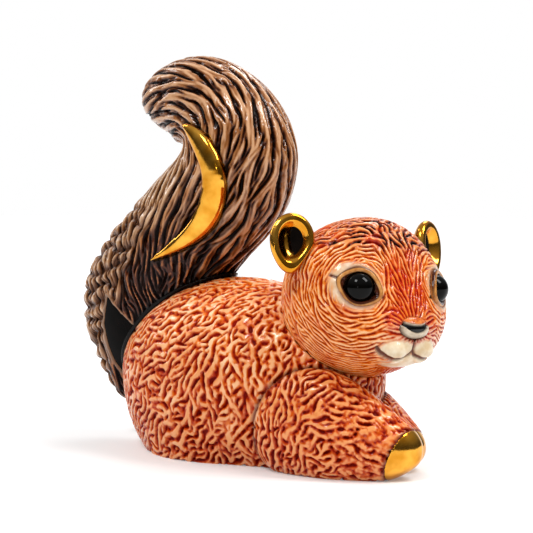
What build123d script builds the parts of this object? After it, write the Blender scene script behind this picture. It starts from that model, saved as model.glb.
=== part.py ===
"""A small glazed ceramic squirrel: hollow castings luted together, with set-in eyes and gilded trim.

The squirrel lies on its belly facing +X, with its right side towards -Y and +Z up. Its tail stands over
its back and curls backwards at the top, and its head is turned a little to its right. The torso, head,
tail, forelegs and ears are separate castings that meet at luted seams. The torso, head and tail are
hollow, and each hollow breathes into the next and out of a small kiln vent in the base. The eyes are
beads held by lid rings, and the gilded and the black-enamelled parts are applied pieces let into shallow
pockets. The origin is under the middle of the figure, on the surface that it stands on. Lengths are
millimetres, and a share is a length over the half or whole size that its comment names.
"""

import os

from build123d import *

# Ceramic body, shared by every casting
wall = 3.4
floor_thickness = 4.0
slip_gap = 0.1
vent_diameter = 3.6
passage_diameter = 5.0

# Torso, from the rump to the front of the chest
torso_length = 69.5
torso_width = 41.0
torso_height = 40.0
torso_axis_height = 18.5
torso_middle_x = -4.8
# (place along the torso, half width, rise above the axis, drop below it), in shares of the torso's sizes
torso_shares = [
    (-0.970, 0.22, 0.22, 0.42),
    (-0.860, 0.52, 0.52, 0.90),
    (-0.600, 0.83, 0.88, 1.32),
    (-0.250, 0.98, 1.07, 1.86),
    (0.150, 0.99, 1.07, 1.36),
    (0.500, 0.86, 0.92, 1.22),
    (0.760, 0.65, 0.68, 1.05),
    (0.930, 0.36, 0.36, 0.70),
]

# Head, turned and tilted about its own middle
head_length = 34.8
head_width = 34.6
head_height = 35.6
head_x = 26.5
head_z = 36.6
head_turn = -16.0
head_tilt = -3.0
# (place from the nape to the nose, centre height, half width, rise, drop), in shares of the head's sizes
head_shares = [
    (-0.945, 0.00, 0.30, 0.30, 0.30),
    (-0.810, 0.02, 0.58, 0.58, 0.55),
    (-0.540, 0.02, 0.86, 0.86, 0.82),
    (-0.160, 0.00, 1.00, 0.99, 0.93),
    (0.160, 0.00, 1.00, 1.00, 0.92),
    (0.420, -0.05, 0.955, 0.96, 0.79),
    (0.600, -0.12, 0.855, 0.81, 0.64),
    (0.720, -0.19, 0.720, 0.61, 0.55),
    (0.820, -0.25, 0.570, 0.43, 0.44),
    (0.900, -0.29, 0.415, 0.29, 0.33),
    (0.955, -0.32, 0.265, 0.17, 0.21),
    (0.985, -0.335, 0.14, 0.09, 0.11),
]
snout_height_share = -0.34

# Tail, a plume that leans over the back and curls backwards at its top
tail_height = 92.0
tail_depth = 65.0
tail_thickness = 24.0
tail_middle_x = -24.5
# (place, height, tilt from level in degrees, half depth, half thickness), the lengths in shares
tail_stations = [
    (-0.285, 0.143, -5, 0.154, 0.36),
    (-0.274, 0.210, -8, 0.295, 0.62),
    (-0.215, 0.270, -9, 0.502, 0.85),
    (-0.192, 0.353, -8, 0.560, 0.97),
    (-0.126, 0.442, -8.3, 0.585, 1.00),
    (-0.031, 0.516, -10.7, 0.578, 1.00),
    (0.112, 0.607, -8.5, 0.585, 1.00),
    (0.208, 0.685, -7, 0.514, 1.00),
    (0.252, 0.752, 1.5, 0.443, 0.98),
    (0.232, 0.813, 18, 0.391, 0.96),
    (0.151, 0.859, 40, 0.372, 0.91),
    (0.049, 0.891, 68, 0.320, 0.83),
    (-0.057, 0.891, 92, 0.246, 0.70),
    (-0.127, 0.884, 100, 0.157, 0.48),
    (-0.161, 0.876, 104, 0.071, 0.22),
]
tail_root_shares = (-0.262, 0.103)
tail_end_shares = (-0.176, 0.874)
tail_hollow_stations = slice(2, 11)

# Forelegs, from the elbow to the tip of the paw; the left one is tucked shorter, lower and closer in
right_leg_length = 38.0
right_leg_height = 25.0
right_leg_spread = 11.3
left_leg_length = 33.8
left_leg_height = 20.0
left_leg_spread = 6.8
leg_width = 15.2
elbow_x = 6.0
paw_gap = 0.4
# (place from the elbow, offset from the middle, centre height, half width, rise, drop), in shares
leg_shares = [
    (0.05, 1.02, 0.48, 0.52, 0.48, 0.60),
    (0.17, 1.06, 0.46, 0.84, 0.82, 0.94),
    (0.36, 1.04, 0.43, 0.98, 0.98, 0.95),
    (0.55, 0.94, 0.38, 0.98, 0.98, 0.87),
    (0.72, 0.76, 0.32, 0.88, 0.80, 0.72),
    (0.85, 0.60, 0.27, 0.76, 0.58, 0.54),
    (0.93, 0.50, 0.25, 0.60, 0.42, 0.37),
    (0.98, 0.44, 0.25, 0.36, 0.24, 0.24),
]
leg_tip_shares = (0.42, 0.25)
paw_tip_length = 3.8
paw_tip_height_share = 0.22
paw_tip_lean = 21.0

# Ears, egg-shaped cups with a rolled rim that are luted to the skull
ear_width = 10.8
ear_height = 12.8
ear_thickness = 3.9
ear_place_shares = (-0.085, 1.06, 0.69)
ear_facing = 35.0
ear_lean = 8.0
ear_spin = 14.0
# (depth from the back of the cup, size), in shares of the ear's thickness and of its outline
ear_cup_shares = [(0.08, 0.46), (0.28, 0.78), (0.55, 0.96), (0.75, 1.00), (0.91, 0.96), (1.00, 0.83)]
ear_bowl_shares = [(1.12, 0.84), (1.00, 0.70), (0.84, 0.58), (0.66, 0.46), (0.52, 0.28)]
ear_bowl_floor_share = 0.48
ear_round_shares = (0.88, 1.12)
lining_level_share = 0.72

# Eyes, beads in sockets, each held by a lid ring
eye_diameter = 6.6
eye_sink = 1.4
eye_place_shares = (0.697, 0.645, 0.190)
eye_gaze = 34.0
eye_lift = 10.0
eye_cup_wall = 1.2
lid_ring_diameter = 7.1
lid_thickness = 1.3
lid_sink = 0.3

# Muzzle
nose_radii = (3.6, 2.3, 2.1)
nose_sink = 1.0
nose_lift = 12.0
nose_height_share = -0.27
lip_radii = (3.5, 3.7, 3.3)
lip_place_shares = (0.775, 0.20, -0.51)
chin_radii = (4.8, 4.6, 2.9)
chin_place_shares = (0.61, -0.575)

# Gilded crescents on the tail's flanks, and black panels at its root
relief_height = 0.9
pocket_depth = 1.0
panel_thickness = 1.4
panel_recess = 0.35
seam_bead = 1.0
# (depth, height) of the outlines' points, in shares of the tail's sizes
crescent_top_shares = (0.138, 0.822)
crescent_foot_shares = (-0.005, 0.478)
crescent_outer_shares = [(0.283, 0.772), (0.332, 0.690), (0.283, 0.582), (0.118, 0.503)]
crescent_inner_shares = [(0.085, 0.523), (0.210, 0.603), (0.249, 0.690), (0.190, 0.771)]
panel_shares = [(-0.226, 0.385), (-0.090, 0.300), (-0.130, 0.180), (-0.180, 0.115),
                (-0.228, 0.145), (-0.252, 0.210), (-0.258, 0.310)]

# Ends of the ways that join the hollows, in shares of the torso's and the tail's sizes
neck_way_share = 0.30
rump_way_share = -0.55
tail_way_shares = (-0.16, 0.42)


def quarter_arcs(half_width, up, down):
    """The outline of an egg-shaped section: four quarter ellipses about its centre."""
    for start, height in ((0, up), (90, up), (180, down), (270, down)):
        EllipticalCenterArc((0, 0), half_width, height, start_angle=start, arc_size=90)


def egg_loft(sections, first=None, last=None):
    """A rounded solid through egg-shaped sections, each a plane, a half width, a rise and a drop.

    It closes in a point where one is given, and is left flat at an end without one.
    """
    faces = []
    for plane, half_width, up, down in sections:
        with BuildSketch(plane) as section:
            with BuildLine():
                quarter_arcs(half_width, up, down)
            make_face()
        faces.append(section.sketch)
    starts = [Vertex(*first)] if first else []
    ends = [Vertex(*last)] if last else []
    with BuildPart() as form:
        loft(sections=[*starts, *faces, *ends])
    return form.part


def across(x, y, z):
    """The plane that cuts a body across its length, with its own X to the left and its Y up."""
    return Plane(origin=(x, y, z), x_dir=(0, 1, 0), z_dir=(1, 0, 0))


def ellipsoid(centre, radii, grow=0.0):
    """A ball stretched to three radii about its centre."""
    grown = tuple(radius + grow for radius in radii)
    return Pos(*centre) * scale(Sphere(1, mode=Mode.PRIVATE), by=grown, mode=Mode.PRIVATE)


def tail_point(depth, height):
    """A point of the tail's side view from shares of its sizes."""
    return (tail_middle_x + depth * tail_depth, height * tail_height)


def torso_form(grow=0.0):
    """The torso's outer form, grown or, for a wall, shrunk all over."""
    half_length = torso_length / 2 + grow
    half_width = torso_width / 2 + grow
    half_height = torso_height / 2 + grow
    sections = []
    for place, wide, up, down in torso_shares:
        plane = across(torso_middle_x + place * half_length, 0, torso_axis_height)
        sections.append((plane, wide * half_width, up * half_height, down * half_height))
    rump = (torso_middle_x - half_length, 0, torso_axis_height)
    chest = (torso_middle_x + half_length, 0, torso_axis_height)
    return egg_loft(sections, rump, chest)


def skull_form(grow=0.0):
    """The skull, cheeks and snout about the head's own middle, facing +X."""
    half_length = head_length / 2 + grow
    half_width = head_width / 2 + grow
    half_height = head_height / 2 + grow
    sections = []
    for place, centre, wide, up, down in head_shares:
        plane = across(place * half_length, 0, centre * head_height / 2)
        sections.append((plane, wide * half_width, up * half_height, down * half_height))
    snout = (half_length, 0, snout_height_share * head_height / 2)
    return egg_loft(sections, (-half_length, 0, 0), snout)


def tail_form(grow=0.0, stations=tail_stations, start=tail_root_shares, end=tail_end_shares):
    """The plume, through sections square to its bend, grown or shrunk in proportion to each of them."""
    fullest = max(half_depth for _, _, _, half_depth, _ in tail_stations)
    sections = []
    for place, height, tilt, half_depth, half_thick in stations:
        x, z = tail_point(place, height)
        middle = Plane(Pos(x, 0, z) * Rot(Y=-tilt))
        depth = half_depth * tail_depth / 2 + half_depth / fullest * grow
        thickness = half_thick * (tail_thickness / 2 + grow)
        sections.append((middle, depth, thickness, thickness))
    start_x, start_z = tail_point(*start)
    end_x, end_z = tail_point(*end)
    return egg_loft(sections, (start_x, 0, start_z), (end_x, 0, end_z))


def tail_hollow_form():
    """The hollow of the plume, which stops short of its root and of its end."""
    first = tail_stations[tail_hollow_stations.start - 1]
    last = tail_stations[tail_hollow_stations.stop]
    return tail_form(-wall, tail_stations[tail_hollow_stations], first[:2], last[:2])


def leg_form(side, length, height, spread):
    """One foreleg, from its elbow beside the belly to the tip of its paw; side is 1 for the left."""
    sections = []
    for place, offset, centre, wide, up, down in leg_shares:
        plane = across(elbow_x + place * length, side * offset * spread, centre * height)
        sections.append((plane, wide * leg_width / 2, up * height / 2, down * height / 2))
    elbow = (elbow_x, side * spread, leg_shares[0][2] * height)
    offset_share, height_share = leg_tip_shares
    tip = (elbow_x + length, side * offset_share * spread, height_share * height)
    return egg_loft(sections, elbow, tip)


def head_point(forward, outward, upward):
    """A point in the head's own frame from shares of its half sizes."""
    return (forward * head_length / 2, outward * head_width / 2, upward * head_height / 2)


def leaves_at(form, through):
    """The point where a ray from the middle of the head leaves a form."""
    hits = form.find_intersection_points(Axis((0, 0, 0), through))
    return max((point for point, _ in hits), key=lambda point: point.dot(Vector(*through)))


def facing(origin, turn, lift):
    """The plane at a point that faces a turn from straight ahead and a lift from level."""
    turned = Plane(Pos(*origin) * Rot(Z=turn) * Rot(Y=-lift))
    return Plane(origin=turned.origin, x_dir=turned.y_dir, z_dir=turned.x_dir)


def ear_plane(side):
    """The plane of an ear's back, with its own Y up and its Z out of the cup."""
    forward, outward, upward = ear_place_shares
    middle = facing(head_point(forward, side * outward, upward), side * ear_facing, ear_lean)
    return middle.rotated((0, 0, -side * ear_spin)).offset(-ear_thickness / 2)


def cup_sections(base, stations):
    """Egg-shaped sections of an ear, stacked out of its back plane."""
    up, down = ear_round_shares
    sections = []
    for depth, size in stations:
        half_height = size * ear_height / 2
        sections.append((base.offset(depth * ear_thickness), size * ear_width / 2,
                         up * half_height, down * half_height))
    return sections


def ear_cup(base):
    """The rounded outer form of an ear."""
    return egg_loft(cup_sections(base, ear_cup_shares), first=tuple(base.origin))


def ear_bowl(base):
    """The hollow of an ear."""
    deep = base.offset(ear_bowl_floor_share * ear_thickness)
    return egg_loft(cup_sections(base, ear_bowl_shares), last=tuple(deep.origin))


def flank_prism(side, outline):
    """An outline seen from the side, carried from the middle of the tail out past one flank."""
    return extrude(outline, amount=-side * tail_thickness, mode=Mode.PRIVATE)


def way_between(start, end):
    """A round way that joins two hollows."""
    along = end - start
    middle = Plane(origin=start + along / 2, z_dir=along)
    return middle.location * Cylinder(passage_diameter / 2, along.length, mode=Mode.PRIVATE)


# Forms that several pieces share
torso = torso_form()
torso_core = torso_form(-wall)
torso_clear = torso_form(slip_gap)
torso_backed = torso_form(slip_gap + wall)
torso_bead = torso_form(seam_bead)
tail = tail_form()
tail_core = tail_hollow_form()
tail_clear = tail_form(slip_gap)
tail_bead = tail_form(seam_bead)
tail_raised = tail_form(relief_height)
pocket_floor = tail_form(-pocket_depth)
panel_face = tail_form(-panel_recess)
panel_back = tail_form(-panel_recess - panel_thickness)
skull = skull_form()
skull_core = skull_form(-wall)
skull_clear = skull_form(slip_gap)
head_place = Pos(head_x, 0, head_z) * Rot(Z=head_turn) * Rot(X=head_tilt)
head_clear = head_place * skull_clear
head_backed = head_place * skull_form(slip_gap + wall)
floor_plane = Plane.XY.offset(floor_thickness)
on_floor = (Align.CENTER, Align.CENTER, Align.MIN)

# Ways that join the hollows of the torso, the head and the tail
neck_start = Vector(torso_middle_x + neck_way_share * torso_length / 2, 0, torso_axis_height)
rump_start = Vector(torso_middle_x + rump_way_share * torso_length / 2, 0, torso_axis_height)
tail_end_x, tail_end_z = tail_point(*tail_way_shares)
neck_way = way_between(neck_start, Vector(head_x, 0, head_z))
tail_way = way_between(rump_start, Vector(tail_end_x, 0, tail_end_z))

# Places on the head where the eyes, the ears and the nose are set, in the head's own frame
eye_planes = {}
ear_planes = {}
for side in (-1, 1):
    forward, outward, upward = eye_place_shares
    surface = leaves_at(skull, head_point(forward, side * outward, upward))
    eye_planes[side] = facing(surface, side * eye_gaze, eye_lift).offset(-eye_sink)
    ear_planes[side] = ear_plane(side)
nose_plane = facing(leaves_at(skull, head_point(1, 0, nose_height_share)), 0, nose_lift)
nose_plane = nose_plane.offset(-nose_sink)
nose_solid = nose_plane.location * ellipsoid((0, 0, 0), nose_radii)

with BuildPart() as torso_hollow:
    add(torso_core)
    split(bisect_by=floor_plane, keep=Keep.TOP)
    add(head_backed, mode=Mode.SUBTRACT)

with BuildPart() as body_shell:
    add(torso)
    split(bisect_by=Plane.XY, keep=Keep.TOP)
    add(torso_hollow.part, mode=Mode.SUBTRACT)
    add(head_clear, mode=Mode.SUBTRACT)
    add(neck_way, mode=Mode.SUBTRACT)
    add(tail_way, mode=Mode.SUBTRACT)
    with Locations((torso_middle_x, 0, 0)):
        Cylinder(vent_diameter / 2, torso_height, mode=Mode.SUBTRACT)

with BuildPart() as tail_hollow:
    add(tail_core)
    add(torso_backed, mode=Mode.SUBTRACT)

# The crescents and panels of both flanks are cut from the same outlines
tail_solids = {}
for side in (-1, 1):
    with BuildSketch(Plane.XZ) as crescent_outline:
        with BuildLine():
            top = tail_point(*crescent_top_shares)
            foot = tail_point(*crescent_foot_shares)
            Spline(top, *[tail_point(*share) for share in crescent_outer_shares], foot)
            Spline(foot, *[tail_point(*share) for share in crescent_inner_shares], top)
        make_face()
    with BuildSketch(Plane.XZ) as panel_outline:
        with BuildLine():
            Polyline(*[tail_point(*share) for share in panel_shares], close=True)
        make_face()
    crescent_prism = flank_prism(side, crescent_outline.sketch)
    panel_prism = flank_prism(side, panel_outline.sketch)
    tail_solids[side] = (crescent_prism, panel_prism)

with BuildPart() as right_tail_crescent:
    add(tail_solids[-1][0])
    add(tail_raised, mode=Mode.INTERSECT)
    add(pocket_floor, mode=Mode.SUBTRACT)

with BuildPart() as left_tail_crescent:
    add(tail_solids[1][0])
    add(tail_raised, mode=Mode.INTERSECT)
    add(pocket_floor, mode=Mode.SUBTRACT)

with BuildPart() as right_tail_panel:
    add(tail_solids[-1][1])
    add(panel_face, mode=Mode.INTERSECT)
    add(panel_back, mode=Mode.SUBTRACT)
    add(torso_clear, mode=Mode.SUBTRACT)

with BuildPart() as left_tail_panel:
    add(tail_solids[1][1])
    add(panel_face, mode=Mode.INTERSECT)
    add(panel_back, mode=Mode.SUBTRACT)
    add(torso_clear, mode=Mode.SUBTRACT)

with BuildPart() as pockets:
    for crescent_prism, _ in tail_solids.values():
        add(crescent_prism)
    add(pocket_floor, mode=Mode.SUBTRACT)

with BuildPart() as recesses:
    for _, panel_prism in tail_solids.values():
        add(panel_prism)
    add(panel_back, mode=Mode.SUBTRACT)

with BuildPart() as tail_shell:
    add(tail)
    add(tail_hollow.part, mode=Mode.SUBTRACT)
    add(torso_clear, mode=Mode.SUBTRACT)
    add(tail_way, mode=Mode.SUBTRACT)
    add(pockets.part, mode=Mode.SUBTRACT)
    add(recesses.part, mode=Mode.SUBTRACT)

with BuildPart() as tail_seam:
    add(tail_bead)
    add(torso_bead, mode=Mode.INTERSECT)
    add(tail_clear, mode=Mode.SUBTRACT)
    add(torso_clear, mode=Mode.SUBTRACT)

# Head and its set-in pieces
with BuildPart() as skull_solid:
    add(skull)
    for side in (-1, 1):
        lip_forward, lip_outward, lip_upward = lip_place_shares
        add(ellipsoid(head_point(lip_forward, side * lip_outward, lip_upward), lip_radii))
    chin_forward, chin_upward = chin_place_shares
    add(ellipsoid(head_point(chin_forward, 0, chin_upward), chin_radii))

with BuildPart() as right_ear_solid:
    add(ear_cup(ear_planes[-1]))
    add(ear_bowl(ear_planes[-1]), mode=Mode.SUBTRACT)

with BuildPart() as left_ear_solid:
    add(ear_cup(ear_planes[1]))
    add(ear_bowl(ear_planes[1]), mode=Mode.SUBTRACT)

with BuildPart() as right_ear:
    add(right_ear_solid.part)
    add(skull_clear, mode=Mode.SUBTRACT)

with BuildPart() as left_ear:
    add(left_ear_solid.part)
    add(skull_clear, mode=Mode.SUBTRACT)

with BuildPart() as right_ear_lining:
    add(ear_bowl(ear_planes[-1]))
    split(bisect_by=ear_planes[-1].offset(lining_level_share * ear_thickness), keep=Keep.BOTTOM)
    add(skull_clear, mode=Mode.SUBTRACT)

with BuildPart() as left_ear_lining:
    add(ear_bowl(ear_planes[1]))
    split(bisect_by=ear_planes[1].offset(lining_level_share * ear_thickness), keep=Keep.BOTTOM)
    add(skull_clear, mode=Mode.SUBTRACT)

with BuildPart() as right_eye:
    with Locations(eye_planes[-1].location):
        Sphere(eye_diameter / 2)

with BuildPart() as left_eye:
    with Locations(eye_planes[1].location):
        Sphere(eye_diameter / 2)

with BuildPart() as right_eyelid:
    with Locations(eye_planes[-1].offset(eye_sink - lid_sink).location):
        Torus(lid_ring_diameter / 2, lid_thickness / 2)
    with Locations(eye_planes[-1].location):
        Sphere(eye_diameter / 2 + slip_gap, mode=Mode.SUBTRACT)

with BuildPart() as left_eyelid:
    with Locations(eye_planes[1].offset(eye_sink - lid_sink).location):
        Torus(lid_ring_diameter / 2, lid_thickness / 2)
    with Locations(eye_planes[1].location):
        Sphere(eye_diameter / 2 + slip_gap, mode=Mode.SUBTRACT)

with BuildPart() as nose_pad:
    add(nose_solid)

with BuildPart() as head_hollow:
    add(skull_core)
    for plane in eye_planes.values():
        with Locations(plane.location):
            Sphere(eye_diameter / 2 + slip_gap + eye_cup_wall, mode=Mode.SUBTRACT)

with BuildPart() as head_shell:
    add(skull_solid.part)
    add(head_hollow.part, mode=Mode.SUBTRACT)
    for plane in eye_planes.values():
        with Locations(plane.location):
            Sphere(eye_diameter / 2 + slip_gap, mode=Mode.SUBTRACT)
        with Locations(plane.offset(eye_sink - lid_sink).location):
            Torus(lid_ring_diameter / 2, lid_thickness / 2, mode=Mode.SUBTRACT)
            Cylinder(lid_ring_diameter / 2, eye_diameter, align=on_floor, mode=Mode.SUBTRACT)
    add(nose_solid, mode=Mode.SUBTRACT)
    add(head_place.inverse() * neck_way, mode=Mode.SUBTRACT)

# Forelegs and their gilded tips
leg_clearances = (torso_clear, head_clear)
with BuildPart() as right_leg_solid:
    add(leg_form(-1, right_leg_length, right_leg_height, right_leg_spread))
    split(bisect_by=Plane.XY, keep=Keep.TOP)
    split(bisect_by=Plane.XZ.offset(paw_gap / 2), keep=Keep.TOP)
    for clearance in leg_clearances:
        add(clearance, mode=Mode.SUBTRACT)

with BuildPart() as left_leg_solid:
    add(leg_form(1, left_leg_length, left_leg_height, left_leg_spread))
    split(bisect_by=Plane.XY, keep=Keep.TOP)
    split(bisect_by=Plane.XZ.offset(-paw_gap / 2), keep=Keep.BOTTOM)
    for clearance in leg_clearances:
        add(clearance, mode=Mode.SUBTRACT)


def tip_plane(length, height):
    """The leaning plane where a paw's gilded tip begins, facing its front."""
    start = (elbow_x + length - paw_tip_length, 0, paw_tip_height_share * height)
    return facing(start, 0, -paw_tip_lean)


right_tip_plane = tip_plane(right_leg_length, right_leg_height)
left_tip_plane = tip_plane(left_leg_length, left_leg_height)

with BuildPart() as right_foreleg:
    add(right_leg_solid.part)
    split(bisect_by=right_tip_plane, keep=Keep.BOTTOM)

with BuildPart() as right_paw_tip:
    add(right_leg_solid.part)
    split(bisect_by=right_tip_plane, keep=Keep.TOP)

with BuildPart() as left_foreleg:
    add(left_leg_solid.part)
    split(bisect_by=left_tip_plane, keep=Keep.BOTTOM)

with BuildPart() as left_paw_tip:
    add(left_leg_solid.part)
    split(bisect_by=left_tip_plane, keep=Keep.TOP)

# The head's pieces are carried from the head's own frame to their place
head_pieces = {
    "head_shell": head_shell,
    "nose_pad": nose_pad,
    "right_eye": right_eye,
    "left_eye": left_eye,
    "right_eyelid": right_eyelid,
    "left_eyelid": left_eyelid,
    "right_ear": right_ear,
    "left_ear": left_ear,
    "right_ear_lining": right_ear_lining,
    "left_ear_lining": left_ear_lining,
}
for piece in head_pieces.values():
    piece.part.move(head_place)

# Every piece stands about the middle of the figure
pieces = {
    "body_shell": body_shell,
    "tail_shell": tail_shell,
    "tail_seam": tail_seam,
    "right_tail_crescent": right_tail_crescent,
    "left_tail_crescent": left_tail_crescent,
    "right_tail_panel": right_tail_panel,
    "left_tail_panel": left_tail_panel,
    "right_foreleg": right_foreleg,
    "left_foreleg": left_foreleg,
    "right_paw_tip": right_paw_tip,
    "left_paw_tip": left_paw_tip,
    **head_pieces,
}
boxes = [piece.part.bounding_box() for piece in pieces.values()]
middle_x = (min(box.min.X for box in boxes) + max(box.max.X for box in boxes)) / 2
middle_y = (min(box.min.Y for box in boxes) + max(box.max.Y for box in boxes)) / 2

os.makedirs("parts", exist_ok=True)
for name, piece in pieces.items():
    piece.part.move(Pos(-middle_x, -middle_y, 0))
    piece.part.label = name
    export_step(piece.part, f"parts/{name}.step")
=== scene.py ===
# %% [markdown]
# # A glazed ceramic squirrel
# The real figurine is a hollow casting. Its fur is carved into the clay before the firing, dark glaze is
# washed into the grooves and wiped off the ridges, and the ears, paws and tail crescents are gilded.
# The castings come from the frame. This lesson gives them their carved skin, their glazes and their gold.

# %% Load the frame
import math

import bmesh
import bpy
import numpy as np
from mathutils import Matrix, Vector
from mathutils.bvhtree import BVHTree
from mathutils.kdtree import KDTree


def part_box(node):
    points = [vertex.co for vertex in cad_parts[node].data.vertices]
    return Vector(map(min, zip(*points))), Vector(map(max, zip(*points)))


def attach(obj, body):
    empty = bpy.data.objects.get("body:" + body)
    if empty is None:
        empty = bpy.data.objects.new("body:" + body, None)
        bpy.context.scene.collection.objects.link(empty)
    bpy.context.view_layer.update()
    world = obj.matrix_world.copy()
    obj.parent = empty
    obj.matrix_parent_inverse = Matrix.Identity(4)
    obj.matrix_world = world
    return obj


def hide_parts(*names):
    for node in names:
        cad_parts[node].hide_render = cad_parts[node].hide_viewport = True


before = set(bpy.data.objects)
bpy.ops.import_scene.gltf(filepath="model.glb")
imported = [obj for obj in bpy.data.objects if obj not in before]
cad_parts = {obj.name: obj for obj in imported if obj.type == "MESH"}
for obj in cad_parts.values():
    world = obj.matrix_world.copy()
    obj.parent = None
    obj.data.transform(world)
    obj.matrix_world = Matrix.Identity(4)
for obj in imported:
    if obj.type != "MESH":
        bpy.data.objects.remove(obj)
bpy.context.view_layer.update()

MM = 0.001

# %% [markdown]
# ## Finding the landmarks
# Every carved line is placed by the pieces that it belongs to: the eyes, the nose and the tail of the
# frame. So the middle of a node's box is measured once here, and the head gets its own three directions,
# because it is turned against the body.

# %% Landmarks, in millimetres
def middle_of(node):
    """The middle of a node's box."""
    low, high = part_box(node)
    return np.array((low + high) / 2) / MM


right_eye_at, left_eye_at = middle_of("right_eye"), middle_of("left_eye")
nose_at = middle_of("nose_pad")
tail_at = middle_of("tail_shell")
brow = (right_eye_at + left_eye_at) / 2
head_left = (left_eye_at - right_eye_at) / np.linalg.norm(left_eye_at - right_eye_at)
head_ahead = np.cross(head_left, [0.0, 0.0, 1.0])
head_ahead /= np.linalg.norm(head_ahead)
head_up = np.cross(head_ahead, head_left)
head_axes = np.array([head_ahead, head_left, head_up])
nose_own = head_axes @ (nose_at - brow)
print("between the eyes:", brow.round(1), "and the nose, in the head's own directions:", nose_own.round(1))

# %% [markdown]
# ## From casting to skin
# A casting's mesh holds its hollow too, which nobody sees. A face is kept if a straight line from it gets
# out into the open. The outer skin is then remeshed into small even squares, fine enough to carve.
# Sculpting by hand would use the same two steps: close the form, then remesh it before the first stroke.

# %% Skins
def linked(name, mesh):
    """A new object of the scene that holds a mesh."""
    piece = bpy.data.objects.new(name, mesh)
    bpy.context.scene.collection.objects.link(piece)
    return piece


def casting(node):
    """The faces of a CAD node, merged along their edges."""
    skin = bmesh.new()
    skin.from_mesh(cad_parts[node].data)
    bmesh.ops.remove_doubles(skin, verts=skin.verts, dist=0.001 * MM)
    return skin


look_out = [Vector((x, y, z)).normalized() for x in (-1, 0, 1) for y in (-1, 0, 1) for z in (-1, 0, 1)
            if (x, y, z) != (0, 0, 0)]


def without_hollow(skin):
    """Deletes the faces that look only into the hollow, and closes the ways that led to it."""
    tree = BVHTree.FromBMesh(skin)
    hidden = []
    for face in skin.faces:
        start = face.calc_center_median() + face.normal * 0.02 * MM
        lines = [face.normal] + [line for line in look_out if line.dot(face.normal) > 0.2]
        if all(tree.ray_cast(start, line)[0] is not None for line in lines):
            hidden.append(face)
    bmesh.ops.delete(skin, geom=hidden, context="FACES")
    islands = []
    left = set(skin.faces)
    while left:
        reached = [left.pop()]
        island = []
        while reached:
            face = reached.pop()
            island.append(face)
            for edge in face.edges:
                for other in edge.link_faces:
                    if other in left:
                        left.remove(other)
                        reached.append(other)
        islands.append(island)
    islands.sort(key=len)
    for island in islands[:-1]:
        bmesh.ops.delete(skin, geom=island, context="FACES")
    bmesh.ops.holes_fill(skin, edges=[edge for edge in skin.edges if edge.is_boundary])
    return skin


def settle(piece):
    """Makes what a piece's modifiers show into its own mesh."""
    fine = bpy.data.meshes.new_from_object(piece.evaluated_get(bpy.context.evaluated_depsgraph_get()))
    piece.modifiers.clear()
    piece.data = fine
    fine.name = piece.name


def remeshed(skin, name, grain, rounds=2):
    """An object with the form of a skin in even squares, grain millimetres wide, smoothed a few times."""
    rough = bpy.data.meshes.new(name)
    skin.to_mesh(rough)
    skin.free()
    piece = linked(name, rough)
    cut = piece.modifiers.new("squares", "REMESH")
    cut.mode = "VOXEL"
    cut.voxel_size = grain * MM
    cut.use_smooth_shade = True
    smooth = piece.modifiers.new("smooth", "SMOOTH")
    smooth.iterations = rounds
    smooth.factor = 0.5
    settle(piece)
    piece.data.materials.clear()
    print(name, "has", len(piece.data.vertices), "points")
    return piece


# %% [markdown]
# ## A light mesh after the carving
# The carving needs small squares everywhere, but once it is cut, flat places can do with fewer. Decimate
# merges edges where the form changes least, and blends the attributes of the points that it merges.

# %% Thinning
most_triangles = 196000


def triangle_count(piece):
    """How many triangles a piece is drawn with."""
    return sum(len(face.vertices) - 2 for face in piece.data.polygons)


def thinned(piece):
    """Thins a carved piece to the most triangles that a piece may have."""
    triangles = triangle_count(piece)
    if triangles > most_triangles:
        thin = piece.modifiers.new("thin", "DECIMATE")
        thin.ratio = most_triangles / triangles
        settle(piece)
    print(piece.name, "went from", triangles, "to", triangle_count(piece), "triangles")


# %% [markdown]
# ## Reading and writing a skin
# The carving is worked out for all points of a skin at once, so its points and normals are read into
# arrays, and what the glazes need is written back as named attributes.

# %% Points, normals and attributes
def read(rows, field):
    """What each row of a mesh's list holds, three numbers a row."""
    flat = np.zeros(len(rows) * 3, np.float32)
    rows.foreach_get(field, flat)
    return flat.reshape(-1, 3)


def points_of(piece):
    """The points of a piece in millimetres."""
    return read(piece.data.vertices, "co") / MM


def normals_of(piece):
    """The normals at the points of a piece."""
    return read(piece.data.vertex_normals, "vector")


def place_points(piece, points):
    """Moves the points of a piece to places in millimetres."""
    piece.data.vertices.foreach_set("co", (points * MM).astype(np.float32).ravel())
    piece.data.update()


def store(piece, name, values):
    """Keeps one number for each point of a piece, for its material."""
    layer = piece.data.attributes.new(name, "FLOAT", "POINT")
    layer.data.foreach_set("value", values.astype(np.float32))


def ease(value, low, high):
    """0 below low, 1 above high, and an even curve between them."""
    share = np.clip((value - low) / (high - low), 0, 1)
    return share * share * (3 - 2 * share)


def unit(vectors):
    """Vectors of length 1."""
    return vectors / np.maximum(np.linalg.norm(vectors, axis=1, keepdims=True), 1e-9)


def lie_flat(vectors, normals):
    """The part of each vector that lies along the skin, with length 1."""
    return unit(vectors - (vectors * normals).sum(1)[:, None] * normals)


def closeness(points, nodes, reach):
    """1 where a point touches one of some castings, falling to 0 at reach millimetres from it."""
    close = np.zeros(len(points))
    for node in nodes:
        low, high = (np.array(corner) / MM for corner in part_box(node))
        beside = np.flatnonzero(((points > low - reach) & (points < high + reach)).all(1))
        form = casting(node)
        tree = BVHTree.FromBMesh(form)
        form.free()
        for i in beside:
            gap = tree.find_nearest(Vector(points[i]) * MM, reach * MM)[3]
            if gap is not None:
                close[i] = max(close[i], 1 - gap / MM / reach)
    return close


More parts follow.
